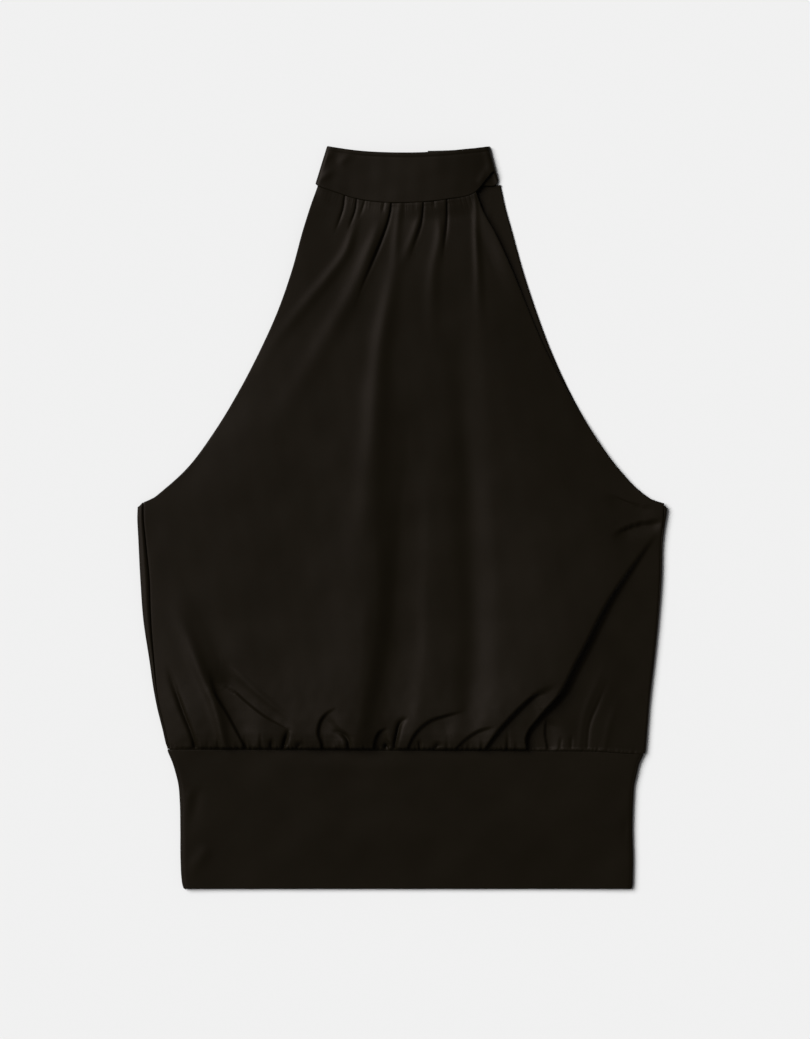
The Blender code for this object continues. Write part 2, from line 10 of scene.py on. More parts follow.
import bmesh
import bpy
import numpy as np
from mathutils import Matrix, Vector


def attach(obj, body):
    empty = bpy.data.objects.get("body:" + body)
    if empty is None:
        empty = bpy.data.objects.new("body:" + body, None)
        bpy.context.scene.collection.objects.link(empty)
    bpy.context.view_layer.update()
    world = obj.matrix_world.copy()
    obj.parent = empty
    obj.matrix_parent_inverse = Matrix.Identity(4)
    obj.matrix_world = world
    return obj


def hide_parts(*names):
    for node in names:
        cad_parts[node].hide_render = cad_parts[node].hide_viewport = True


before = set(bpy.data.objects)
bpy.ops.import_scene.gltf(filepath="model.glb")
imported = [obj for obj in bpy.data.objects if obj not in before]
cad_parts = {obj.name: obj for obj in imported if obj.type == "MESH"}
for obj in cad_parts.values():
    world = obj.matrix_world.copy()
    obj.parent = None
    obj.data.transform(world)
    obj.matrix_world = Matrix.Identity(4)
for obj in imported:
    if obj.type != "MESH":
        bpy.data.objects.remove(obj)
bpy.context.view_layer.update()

MM = 0.001
PHOTO_SCALE = 0.85  # millimetres to a pixel of the photograph
PHOTO_ORIGIN = (402.5, 517.5)  # the pixel over the frame's origin
PHOTO_SIZE = (810, 1039)

EDGE_HEIGHT = 4.2  # the top face along the front's side edges
BAND_SHELL = 1.5  # doubled cloth
BACK_SHELL = 0.9
SEAM_GAP = 0.35
SIDE_GAP = 0.85  # the side seams are pulled open a little
BAND_SINK = 0.6  # how much lower the waistband's middle lies than its sides

# Columns and row lengths of the grids. The front's are finer up to the side section FINE_SIDES.
FINE_SIDES = 7
SEAM_COLUMNS = 440
BODY_COLUMNS = 300
SEAM_ROW = 0.95
BODY_ROW = 2.0
BACK_COLUMNS = 130
BACK_ROW = 3.0
BAND_ROWS = 96
BAND_COLUMNS = 250
BAND_BACK_ROWS = 60
BAND_BACK_COLUMNS = 110
NECK_ROWS = 44
NECK_COLUMNS = 250
SIDE_STEPS = 12
PATH_STEPS = 6

# The edges that turn under
HEM_STEPS = 5
HEM_RADIUS = 0.7
HEM_TURN = 6.0


def table(kind, *rows):
    return tuple(kind(*row) for row in rows)


# The body from the waist seam to the underarms. Middle is the height of the front's top face.
Side = namedtuple("Side", "left_y right_y left strip_left right strip_right middle")
SIDES = table(Side,
    (-196.6, -200.6, -200.2, 3.0, 206.6, 2.3, 9.0),
    (-195.5, -199.2, -200.2, 3.0, 207.0, 2.3, 9.3),
    (-192.5, -195.6, -201.4, 3.0, 207.4, 2.2, 9.9),
    (-188.5, -191.0, -202.4, 3.0, 207.8, 2.1, 10.5),
    (-182.0, -184.0, -203.8, 3.0, 208.3, 2.1, 10.9),
    (-173.0, -174.0, -206.1, 3.0, 209.1, 2.1, 10.9),
    (-162.0, -162.5, -208.8, 3.0, 210.0, 2.1, 10.5),
    (-150.0, -150.0, -211.2, 3.4, 211.2, 2.1, 9.8),
    (-121.0, -121.0, -215.5, 5.0, 214.6, 2.2, 8.2),
    (-87.0, -87.0, -220.6, 7.6, 218.0, 2.3, 6.8),
    (-53.0, -53.0, -223.1, 8.8, 220.6, 2.6, 6.0),
    (-19.0, -19.0, -224.8, 7.2, 221.9, 2.8, 5.6),
    (2.0, 0.0, -225.7, 6.2, 224.4, 3.2, 5.4),
    (13.0, 12.0, -225.4, 6.0, 225.7, 3.8, 5.4),
)

# The armholes from the underarms to the neck seam. The back has a right edge of its own. Dip is
# how much of the neck seam's curve a row has, and middle is the height of the front's top face.
Armhole = namedtuple("Armhole", "left_x left_y right_x right_y back_x back_y dip middle")
ARMHOLES = table(Armhole,
    (-219.4, 13.0, 221.6, 12.0, 223.3, 12.0, 0.0, 5.4),
    (-211.0, 16.8, 208.7, 16.6, 209.5, 17.2, 0.0, 5.4),
    (-202.7, 23.4, 199.8, 23.2, 200.6, 24.0, 0.0, 5.35),
    (-184.0, 40.4, 183.8, 40.4, 184.6, 41.0, 0.0, 5.3),
    (-158.5, 74.4, 159.8, 74.4, 160.6, 74.6, 0.08, 5.3),
    (-138.0, 108.4, 139.2, 108.4, 141.7, 108.4, 0.18, 5.3),
    (-120.3, 142.4, 121.2, 142.4, 126.2, 142.4, 0.3, 5.3),
    (-105.0, 176.4, 106.5, 176.4, 113.5, 176.4, 0.45, 5.35),
    (-93.1, 210.4, 93.0, 209.0, 102.4, 210.4, 0.62, 5.4),
    (-83.7, 244.4, 78.4, 241.0, 93.0, 244.4, 0.8, 5.5),
    (-76.8, 266.0, 67.0, 262.0, 87.4, 264.6, 0.93, 5.6),
    (-71.6, 280.8, 62.0, 275.8, 83.8, 281.5, 1.0, 5.8),
)
BACK_INSET = 3.0
BACK_TUCK = (1.6, 0.45)  # the back's top edge goes on and up under the neckband
UNDERARM_ROUND = 4.0

# The waistband from its seam to the hem
Band = namedtuple("Band", "left_y right_y left right")
BANDS = table(Band,
    (-197.05, -201.1, -199.9, 204.8),
    (-198.2, -202.1, -199.9, 205.0),
    (-202.5, -205.2, -198.3, 203.6),
    (-208.0, -209.3, -196.0, 201.8),
    (-217.0, -217.5, -193.2, 199.8),
    (-227.0, -227.0, -190.8, 197.6),
    (-241.0, -241.0, -189.6, 196.6),
    (-266.0, -266.0, -189.1, 195.9),
    (-292.0, -292.0, -188.9, 196.5),
    (-306.0, -306.0, -188.2, 196.2),
    (-313.0, -313.0, -187.2, 195.9),
    (-315.9, -315.9, -186.2, 195.2),
)
BAND_WIDTH = 390.0
BAND_STRIP = 3.0
BAND_OVERLAP = 1.1
BAND_LOWEST = 3.4
BAND_LIFT = 0.25
BAND_DIP = 2.6  # how far the front's side edges go down, over the next length
BAND_DIP_REACH = 3.6

# The neckband's path from the lap's outer end, round the right fold, across the front, round
# the left fold and back to the lap's inner end. The height is that of its outer face.
Neck = namedtuple("Neck", "top_x top_y low_x low_y height")
NECK_BACK = table(Neck,
    (21.5, 311.9, 21.5, 282.0, 1.9),
    (40.0, 312.4, 41.0, 282.0, 1.9),
    (57.0, 313.8, 60.0, 282.0, 1.5),
    (66.0, 314.9, 71.0, 282.0, 1.6),
    (71.5, 315.6, 78.4, 282.2, 0.9),
    (74.6, 315.9, 81.2, 284.2, 1.2),
)
NECK_FRONT = table(Neck,
    (71.6, 315.4, 77.4, 294.0, 4.8),
    (67.0, 314.6, 71.5, 287.6, 5.3),
    (56.0, 313.4, 61.6, 276.2, 6.4),
    (36.0, 311.2, 37.8, 270.2, 7.4),
    (12.0, 310.1, 11.5, 267.5, 7.3),
    (-14.0, 310.4, -14.9, 267.5, 6.2),
    (-36.0, 311.8, -36.1, 270.2, 5.3),
    (-54.0, 314.2, -59.9, 277.4, 5.0),
    (-62.0, 315.5, -71.4, 281.6, 5.0),
    (-63.4, 315.8, -73.2, 282.6, 4.7),
)
NECK_LAP = table(Neck,
    (-64.2, 315.9, -74.2, 283.6, 2.5),
    (-61.2, 315.2, -71.0, 282.4, 0.0),
    (-52.0, 314.0, -60.0, 282.0, 0.0),
    (-10.0, 310.6, -12.0, 282.0, 0.4),
    (10.0, 310.2, 10.0, 282.0, 2.6),
    (22.0, 310.8, 22.0, 282.0, 3.85),
    (40.4, 311.6, 40.4, 282.0, 3.85),
)
NECK_TALL = 42.0

BUTTON_X = 31.0
BUTTON_YS = (304.5, 291.5)
BUTTON_HOLE_PITCH = 2.6
BUTTON_LANES = (-0.22, 0.0, 0.22)
BUTTON_THREAD = 0.13
BUTTONHOLE_END = 5.6
BUTTONHOLE_LEVEL = 1.78
STITCH_COUNT = 9
STITCH_PITCH = 0.22
STITCH_LENGTH = 2.2
STITCH_THREAD = 0.12
SLIT_TOP = (31.0, 290.0)
SLIT_FOOT = (24.0, 176.0)
SLIT_WIDTH = 1.6
SLIT_CUT = 8.0

# Folds of the front. The path is in the photograph's pixels. A roll is a soft ridge, or a
# trough where its height is negative, and a crease is a narrow one. A swell is a roll whose
# first width is that of the path's left side and whose second is that of its right side. A lap
# is a steep drop with its crest on the path, its high side on the path's left and its width on
# the right. A pleat is a lap with its high side on the path's right. A rooted fold, which is the
# usual one, is at full strength where its path begins.
Fold = namedtuple("Fold", "path width_start width_end height kind rooted", defaults=(True,))
FOLDS = (
    # pleats and creases below the neckband
    Fold(((344, 194), (342.5, 208), (338.5, 220), (331, 237)), 1.2, 2.4, 0.55, "pleat"),
    Fold(((345, 194), (343.5, 208), (339.5, 220), (333, 234)), 0.9, 1.4, -0.8, "crease"),
    Fold(((356, 196), (354.5, 210), (350.5, 221), (345, 233)), 1.2, 2.2, 0.55, "pleat"),
    Fold(((357, 196), (355.5, 210), (351.5, 221), (347, 230)), 0.9, 1.3, -0.8, "crease"),
    Fold(((366, 198), (363, 208), (358, 219)), 1.0, 1.3, -0.6, "crease"),
    Fold(((391, 199), (389, 214), (381, 238), (371, 262), (361, 286), (351, 312)),
         1.5, 3.6, 1.6, "pleat"),
    Fold(((392, 199), (390, 214), (382.5, 238), (372.5, 262), (362, 286), (356, 300)),
         1.0, 1.7, -0.9, "crease"),
    Fold(((385, 200), (382, 214)), 0.9, 1.3, -0.6, "crease"),
    Fold(((423, 199), (420.5, 222), (414.5, 240), (406, 264)), 1.4, 3.0, 1.1, "pleat"),
    Fold(((424, 199), (421.5, 222), (415.5, 240), (407, 260)), 1.0, 1.6, -0.8, "crease"),
    Fold(((434, 199), (434, 208)), 1.0, 1.2, -0.7, "crease"),
    Fold(((446, 198), (446, 217), (443.5, 240), (440, 266)), 1.4, 3.0, 1.1, "pleat"),
    Fold(((447, 198), (447, 217), (444.5, 240), (441, 260)), 1.0, 1.5, -0.9, "crease"),
    # rolls that fan down from the neckband
    Fold(((360, 212), (353, 232), (346, 252), (333, 271), (304, 306), (273, 345), (240, 405)),
         2.8, 6.5, 1.0, "roll", False),
    Fold(((381, 216), (375, 236), (367, 258), (358, 281), (327, 337), (289, 400), (262, 440)),
         3.2, 11.0, 1.3, "roll", False),
    Fold(((400, 204), (396, 244), (394, 280)), 2.8, 4.6, 0.6, "roll"),
    Fold(((422, 210), (412, 240), (396, 276)), 2.6, 4.6, 0.7, "roll", False),
    Fold(((401, 236), (395, 270), (385, 320), (378, 370), (375, 420), (371, 470), (366, 520),
          (362, 560), (358, 600)), 5.0, 14.0, 1.6, "roll", False),
    Fold(((438, 210), (440, 234), (434, 268), (432, 310), (434, 380)), 2.6, 7.0, 0.8, "roll", False),
    Fold(((476, 197), (476, 228), (478, 268), (479, 302), (482, 350)), 1.8, 5.0, 0.9, "roll"),
    # long swells of the middle, from the waist up
    Fold(((352, 752), (361, 700), (371, 655), (375, 620), (376, 590), (374, 540), (373, 490),
          (379, 430), (384, 390), (388, 340)), 31.0, 12.5, 2.0, "swell"),
    Fold(((368, 752), (380, 700), (392, 640), (398, 580), (402, 520), (408, 460), (412, 400),
          (414, 350)), 9.0, 26.0, -0.9, "swell"),
    Fold(((412, 745), (420, 700), (427, 650), (428, 590), (430, 530), (432, 470), (434, 400)),
         8.0, 16.0, 0.6, "swell"),
    Fold(((467, 745), (470, 700), (473, 650), (473, 600), (471, 550), (469, 500), (466, 440),
          (463, 390), (462, 330), (460, 280), (459, 230)), 11.0, 12.5, -1.55, "swell"),
    Fold(((503, 748), (501, 700), (499, 640), (498, 580), (496, 520), (492, 460), (489, 400),
          (487, 340), (484, 270), (484, 230)), 8.0, 20.0, 0.25, "swell"),
    Fold(((362, 752), (360, 680), (364, 600), (370, 520)), 60.0, 16.0, 1.6, "swell"),
    Fold(((520, 380), (530, 480), (535, 600), (535, 680)), 26.0, 26.0, 1.0, "roll", False),
    # lower left
    Fold(((256, 752), (247, 726), (236, 700), (222, 660), (207, 622), (188, 580), (165, 535)),
         9.0, 13.0, -1.3, "swell", False),
    Fold(((226, 750), (215, 705), (201, 671), (186, 634), (164, 592)), 4.0, 7.5, 2.4, "roll"),
    Fold(((196, 750), (193, 737), (183, 711), (172, 680), (166, 662)), 1.4, 2.2, -2.6, "crease"),
    Fold(((246, 750), (237, 733), (226, 713), (214, 692), (208, 668)), 3.0, 3.0, 2.4, "lap"),
    Fold(((228, 662), (237, 673), (252, 687), (272, 704), (291, 720), (299, 736)),
         3.2, 3.2, 1.0, "roll", False),
    Fold(((296, 735), (283, 727), (266, 718), (246, 703), (230, 690), (219, 686), (203, 690)),
         4.0, 4.4, 1.8, "lap", False),
    Fold(((283, 750), (286, 739), (290, 726)), 1.5, 1.9, -4.2, "crease"),
    # lower middle
    Fold(((323, 751), (320, 743), (317, 733), (317.5, 726), (320, 719), (326, 712), (338, 705)),
         5.2, 4.8, 2.8, "lap"),
    Fold(((349, 750), (348, 739), (342, 732.5), (331, 731)), 1.6, 1.8, -3.6, "crease"),
    Fold(((373, 751), (374, 739), (378, 731), (388, 726)), 6.0, 4.0, 3.4, "lap"),
    Fold(((386, 750), (386, 742)), 1.8, 2.0, -3.0, "crease"),
    Fold(((394, 750), (397, 735), (401, 722), (409, 716)), 1.5, 2.0, -3.6, "crease"),
    Fold(((405, 751), (415, 731), (429, 719), (444, 714), (466, 709)), 5.6, 5.0, 2.9, "lap"),
    Fold(((420, 750), (419.5, 738)), 1.2, 1.5, -2.2, "crease"),
    Fold(((434, 750), (441, 741)), 2.0, 2.2, -2.6, "crease"),
    Fold(((297, 750), (302, 740)), 2.2, 2.4, -2.8, "crease"),
    Fold(((271, 750), (272, 737)), 1.4, 1.8, -2.4, "crease"),
    Fold(((452, 751), (463, 739), (476, 730), (495, 724)), 5.0, 4.4, 2.4, "lap"),
    Fold(((482, 751), (496, 730), (510, 714), (520, 704), (532, 694), (558, 682)),
         9.0, 8.0, 5.6, "lap"),
    # creases at the right underarm
    Fold(((610, 536), (621, 530), (633, 525), (646, 522), (658, 521), (669, 521)),
         2.0, 1.9, 2.3, "lap", False),
    Fold(((604, 492), (618, 497), (632, 502.5), (645, 506), (662, 509)), 2.1, 2.1, 0.9, "lap", False),
)
LAP_DROP = 0.52  # the part of a lap's width that drops, before the flat part in its shade
HIGH_SHARE = {"lap": 0.12, "pleat": 0.4}
HIGH_SPREAD = {"lap": 2.6, "pleat": 6.0}
LOW_SPREAD = {"lap": 4.2, "pleat": 9.0}
FOLD_REACH = {"roll": 3.0, "swell": 3.0, "crease": 5.0, "lap": 11.0, "pleat": 22.0}

# The deep fold from the waist to the right underarm, and its width at shares of its length. The
# side of the front beyond it lies flat.
DEEP_PATH = (
    (526, 751), (525, 737), (540, 714), (560, 690), (572, 666), (585, 642), (597, 618),
    (611, 594), (628, 570), (646, 546), (661, 526),
)
DEEP_HEIGHT = 5.0
DEEP_SHARES = (0.0, 0.12, 0.25, 0.4, 0.6, 0.75, 0.88, 1.0)
DEEP_WIDTHS = (5.0, 8.0, 13.0, 15.0, 14.0, 10.5, 6.5, 4.0)
DEEP_REACH = 200.0
DEEP_SPREAD = 75.0
FLAT_SIDE = 4.6
SIDE_FOLDS = (
    Fold(((547, 750), (544, 732), (546, 716)), 2.6, 2.4, 1.7, "lap"),
    Fold(((560, 750), (561.5, 735)), 1.1, 1.4, -0.6, "crease"),
    Fold(((571, 750), (572, 733)), 1.1, 1.4, -0.6, "crease"),
    Fold(((587, 750), (590, 724), (599, 702), (612, 670)), 1.2, 1.8, -0.6, "crease"),
    Fold(((579, 750), (584, 716), (598, 680), (613, 646)), 2.2, 3.8, 0.26, "roll"),
    Fold(((604, 749), (610, 722), (622, 690)), 2.6, 3.8, 0.26, "roll"),
)

# Short creases that stand on the waist seam. X and reach are in the photograph's pixels.
Tick = namedtuple("Tick", "x reach depth")
TICKS = table(Tick,
    (194, 7, 0.7), (197.5, 8, 0.7), (218.6, 9, 0.9), (245, 8, 0.9), (261, 10, 0.9),
    (273, 8, 0.8), (303, 7, 0.8), (323, 9, 0.9), (340, 6, 0.7), (352, 6, 0.6),
    (386, 7, 0.7), (447, 7, 0.6), (469, 6, 0.6), (481.6, 7, 0.8), (507.6, 12, 1.0),
    (516, 6, 0.6), (535, 8, 0.8), (598, 7, 0.6), (614, 8, 0.5), (208, 6, 0.5),
)
TICK_DEPTH = 1.8
TICK_WIDTH = 1.3

# The gathers of a seam: how many, how deep, and how far they go from it
Gather = namedtuple("Gather", "count depth reach")
WAIST_GATHER = Gather(97, 2.8, 2.2)
BAND_GATHER = Gather(97, 0.15, 2.5)
NECK_GATHER = Gather(26, 0.25, 6.0)

# How far from a seam or an edge the front reaches its full height, and its lowest top face
SEAM_SETTLE = 2.0
EDGE_SETTLE = 4.0
EDGE_SPREAD = 25.0
LOWEST_TOP = 2.3

# Soft unevenness of the cloth. Along_y is how much Y counts in it.
Wave = namedtuple("Wave", "height along_y length seed")
FRONT_WAVE = Wave(0.22, 1.0, 85.0, 1.0)
FRONT_RIPPLE = Wave(0.05, 0.5, 30.0, 2.0)
WAIST_RIPPLE = Wave(0.06, 0.5, 14.0, 3.0)
SIDE_WAVE = Wave(0.12, 1.0, 40.0, 4.0)
BAND_WAVE = Wave(0.14, 1.0, 60.0, 5.0)
NECK_WAVE = Wave(0.1, 1.0, 30.0, 11.0)
BACK_WAVE = Wave(1.0, 0.5, 34.0, 7.0)
BACK_RIPPLE = Wave(0.7, 0.35, 15.0, 8.0)
BACK_TROUGH = 0.75

# Soft folds of the waistband's front and of the neckband's front, in the same columns
BAND_FOLDS = (
    Fold(((190, 786), (186, 806), (181, 834)), 4.0, 6.0, 0.5, "roll", False),
    Fold(((200, 784), (195, 806), (188, 836)), 4.0, 6.0, -0.35, "roll", False),
    Fold(((211, 843), (198, 862), (186, 881)), 5.0, 7.0, 0.6, "roll", False),
    Fold(((634, 810), (628, 826), (627, 842)), 3.0, 4.0, -0.6, "crease", False),
    Fold(((262, 760), (380, 767), (510, 758)), 7.0, 9.0, 0.35, "roll", False),
    Fold(((330, 826), (440, 833), (545, 821)), 16.0, 18.0, 0.3, "roll", False),
)
NECK_FOLDS = (
    Fold(((317, 168), (325, 158), (336, 149)), 3.4, 3.4, 0.8, "roll"),
    Fold(((315, 183), (325, 176), (338, 168)), 3.0, 3.0, 0.6, "roll"),
    Fold(((338, 166), (346, 158), (358, 150)), 3.4, 4.0, 0.45, "roll", False),
    Fold(((478, 187), (484, 176), (494, 160)), 3.0, 4.0, 0.6, "roll", False),
)


def smooth_step(low, high, value):
    t = np.clip((np.asarray(value, float) - low) / (high - low), 0.0, 1.0)
    return t * t * (3.0 - 2.0 * t)


def from_photo(path):
    """Pixels of the photograph as millimetres of the frame."""
    path = np.asarray(path, float)
    across, down = (path[:, 0] - PHOTO_ORIGIN[0]), (path[:, 1] - PHOTO_ORIGIN[1])
    return np.column_stack((across * PHOTO_SCALE, -down * PHOTO_SCALE))


def through(stations, places):
    """Points of a smooth curve through the stations, which are at places 0, 1, 2 and so on."""
    points = np.asarray(stations, float)
    last = len(points) - 1
    chords = np.maximum(np.linalg.norm(np.diff(points, axis=0), axis=1), 1e-6)
    slopes = np.diff(points, axis=0) / chords[:, None]
    tangents = np.empty_like(points)
    tangents[0], tangents[-1] = slopes[0], slopes[-1]
    for i in range(1, last):
        share = chords[i - 1] / (chords[i - 1] + chords[i])
        tangents[i] = slopes[i - 1] * (1.0 - share) + slopes[i] * share
    places = np.asarray(places, float)
    i = np.minimum(places.astype(int), last - 1)
    s = (places - i)[:, None]
    start, end = tangents[i] * chords[i][:, None], tangents[i + 1] * chords[i][:, None]
    return (
        (2 * s**3 - 3 * s**2 + 1) * points[i]
        + (s**3 - 2 * s**2 + s) * start
        + (3 * s**2 - 2 * s**3) * points[i + 1]
        + (s**3 - s**2) * end
    )


def columns_of(rows, *names):
    return [[getattr(row, name) for name in names] for row in rows]


def spaced_places(rows, spacing):
    """Places along a table of sections, about one for each spacing of length."""
    ys = [row.left_y for row in rows]
    places = [0.0]
    for i in range(len(rows) - 1):
        count = max(1, round(abs(ys[i + 1] - ys[i]) / spacing))
        places += [i + (k + 1) / count for k in range(count)]
    return np.array(places)


def side_sections(places):
    left = through(columns_of(SIDES, "left", "left_y"), places)
    right = through(columns_of(SIDES, "right", "right_y"), places)
    rest = through(columns_of(SIDES, "strip_left", "strip_right", "middle"), places)
    return left, right, rest


def armhole_edges(places):
    left = through(columns_of(ARMHOLES, "left_x", "left_y"), places)
    return left, through(columns_of(ARMHOLES, "right_x", "right_y"), places)


def band_edges(rows):
    """The waistband's side edges from its seam to its hem."""
    depths = BANDS[0].left_y - np.array([band.left_y for band in BANDS])
    down = edge_places(rows, depths[-1])
    places = np.interp(depths[-1] * down, depths, np.arange(len(BANDS)))
    left = through(columns_of(BANDS, "left", "left_y"), places)
    return left, through(columns_of(BANDS, "right", "right_y"), places)


# The neckband's lower front edge from left to right: x, y and height
NECK_X, NECK_Y, NECK_Z = through(
    columns_of(NECK_FRONT, "low_x", "low_y", "height"), np.linspace(len(NECK_FRONT) - 1, 0.0, 90)
).T


def neck_dip(u):
    """How far the neck seam lies below the straight line between the front's top corners."""
    end = ARMHOLES[-1]
    x = end.left_x + (end.right_x - end.left_x) * u
    line = end.left_y + (end.right_y - end.left_y) * u
    return line - (np.interp(x, NECK_X, NECK_Y) - SEAM_GAP)


def band_level(u):
    return EDGE_HEIGHT - BAND_SINK * smooth_step(0.0, 0.16, np.minimum(u, 1.0 - u))


def along_fold(path, x, y, reach):
    """The points near a fold, how far each lies to the path's left, and how far along it."""
    path = from_photo(path)
    steps = PATH_STEPS * (len(path) - 1) + 1
    line = through(path, np.linspace(0.0, len(path) - 1, steps))
    near = (x > line[:, 0].min() - reach) & (x < line[:, 0].max() + reach)
    near &= (y > line[:, 1].min() - reach) & (y < line[:, 1].max() + reach)
    px, py = x[near], y[near]
    nearest = np.full(px.shape, np.inf)
    side, share = np.zeros_like(px), np.zeros_like(px)
    for k, (start, end) in enumerate(zip(line[:-1], line[1:])):
        run = end - start
        length = np.hypot(*run)
        s = np.clip(((px - start[0]) * run[0] + (py - start[1]) * run[1]) / length**2, 0, 1)
        away_x, away_y = px - start[0] - s * run[0], py - start[1] - s * run[1]
        distance = np.hypot(away_x, away_y)
        closer = distance < nearest
        turned = np.sign(run[0] * away_y - run[1] * away_x)
        side = np.where(closer, turned * distance, side)
        share = np.where(closer, (k + s) / (steps - 1), share)
        nearest = np.where(closer, distance, nearest)
    return near, side, share


def lap_width(width, share):
    """A lap is widest in its middle and narrow at its ends."""
    return width * (0.35 + 0.65 * np.sin(math.pi * (0.04 + 0.92 * share)) ** 0.7)


def lap_drop(side, width):
    drop = np.clip(-side / (LAP_DROP * width), 0.0, 1.0)
    return 0.65 * drop + 0.35 * smooth_step(0.0, 1.0, drop)


def fold_height(fold, x, y):
    """What one fold adds to the height at each point."""
    widest = max(fold.width_start, fold.width_end)
    near, side, share = along_fold(fold.path, x, y, FOLD_REACH[fold.kind] * widest + 3.0)
    width = fold.width_start + (fold.width_end - fold.width_start) * share
    taper = 1.0 - smooth_step(0.7 if fold.kind == "lap" else 0.45, 1.0, share)
    if not fold.rooted:
        taper = taper * smooth_step(0.0, 0.3, share)
    if fold.kind == "swell":
        width = np.where(side > 0.0, fold.width_start, fold.width_end)
    if fold.kind in ("roll", "swell"):
        shape = np.exp(-((side / width) ** 2))
    elif fold.kind == "crease":
        away = np.sqrt((side / width) ** 2 + 0.02)
        shape = 1.1 * np.exp(-(away**1.35))
    else:
        if fold.kind == "pleat":
            side = -side
        else:
            width = lap_width(width, share)
        drop = lap_drop(side, width)
        above, below = np.maximum(side, 0.0), np.maximum(-side - width, 0.0)
        high = np.exp(-((above / (HIGH_SPREAD[fold.kind] * width)) ** 2))
        low = np.exp(-((below / (LOW_SPREAD[fold.kind] * width)) ** 2))
        high_share = HIGH_SHARE[fold.kind]
        shape = high_share * high * (1.0 - drop) - (1.0 - high_share) * low * drop
    added = np.zeros_like(x)
    added[near] = fold.height * taper * shape
    return added


def deep_fold(x, y):
    """The deep fold's crest, and how far each point has gone down to the flat side."""
    near, side, share = along_fold(DEEP_PATH, x, y, DEEP_REACH)
    width = np.interp(share, DEEP_SHARES, DEEP_WIDTHS)
    taper = 1.0 - smooth_step(0.88, 1.0, share)
    drop = lap_drop(side, width)
    crest, sunk = np.zeros_like(x), np.zeros_like(x)
    lift = DEEP_HEIGHT * (1.0 - smooth_step(0.68, 1.0, share)) * (1.0 - drop)
    crest[near] = lift * np.exp(-((np.maximum(side, 0.0) / DEEP_SPREAD) ** 2))
    sunk[near] = taper * drop
    return crest, sunk


def all_folds(folds, x, y):
    total = np.zeros_like(x)
    for fold in folds:
        total += fold_height(fold, x, y)
    return total


def unevenness(x, y, wave):
    """A smooth uneven field of six waves that cross, with features of about the wave's length."""
    total = np.zeros_like(x)
    for k in range(6):
        turn = wave.seed * 1.7 + k * 1.27
        stretch = (0.7 + 0.23 * k) * 2.0 * math.pi / wave.length
        along = x * math.cos(turn) + wave.along_y * y * math.sin(turn)
        total += np.sin(along * stretch + wave.seed * 3.1 + 1.9 * k)
    return wave.height * (total / 3.2)


def gathers(u, distance, gather):
    """The small pinched troughs of a gathered seam, uneven in spacing, length and depth."""
    turns = gather.count * u + 0.33 * np.sin(44.0 * u + 1.0) + 0.24 * np.sin(113.0 * u)
    turns = turns + 0.2 * np.sin(187.0 * u + 2.0)
    phase = (turns + 0.5) % 1.0 - 0.5
    pinch = np.exp(-((phase / 0.23) ** 2)) - 0.3
    order = np.floor(turns + 0.5)
    uneven = 0.2 + 0.8 * (0.5 + 0.5 * np.sin(2.4 * order + 1.3 * np.sin(1.7 * order))) ** 1.6
    long = gather.reach * (0.5 + 0.8 * np.abs(np.sin(1.9 * order + 0.4)))
    rise = smooth_step(-0.3, 0.6, distance) * np.exp(-((np.maximum(distance, 0.0) / long) ** 1.4))
    return -gather.depth * uneven * rise * pinch


def ticks(x, distance):
    total = np.zeros_like(x)
    for tick in TICKS:
        centre = (tick.x - PHOTO_ORIGIN[0]) * PHOTO_SCALE
        fade = np.exp(-((np.maximum(distance, 0.0) / (tick.reach * PHOTO_SCALE)) ** 2))
        total -= TICK_DEPTH * tick.depth * fade * np.exp(-(((x - centre) / TICK_WIDTH) ** 2))
    return total


def seam_share(u):
    """How far the waist seam has gone from its left end's level to its right end's."""
    return 0.42 * u + 0.58 * smooth_step(0.88, 1.0, u)


def edge_lines():
    """The front's side edges and its armhole edges."""
    left, right, rest = side_sections(np.linspace(0.0, len(SIDES) - 1.0, 40))
    left, right = left + rest[:, :1] * (1.0, 0.0), right - rest[:, 1:2] * (1.0, 0.0)
    return left, right, *armhole_edges(np.linspace(0.0, len(ARMHOLES) - 1.0, 45))


def edge_rise(x, y, reach):
    """From 0 on the front's edges to 1 well inside them."""
    rise = np.ones_like(x)
    for line in edge_lines():
        nearest = np.full(x.shape, np.inf)
        for start, run in zip(line[:-1], np.diff(line, axis=0)):
            s = np.clip(((x - start[0]) * run[0] + (y - start[1]) * run[1]) / (run @ run), 0, 1)
            away = np.hypot(x - start[0] - s * run[0], y - start[1] - s * run[1])
            nearest = np.minimum(nearest, away)
        rise *= 1.0 - np.exp(-nearest / reach)
    return rise


def edge_level(u, y):
    """The height of the front's top face along its edges, lifted near the neck."""
    level = EDGE_HEIGHT - 1.4 * smooth_step(0.0, 90.0, y) + 1.4 * smooth_step(150.0, 262.0, y)
    by_neck = smooth_step(0.92, 1.0, u) * smooth_step(170.0, 225.0, y)
    left_neck = (1.0 - smooth_step(0.0, 0.3, u)) * smooth_step(90.0, 200.0, y)
    return level + 2.0 * by_neck + 1.4 * left_neck


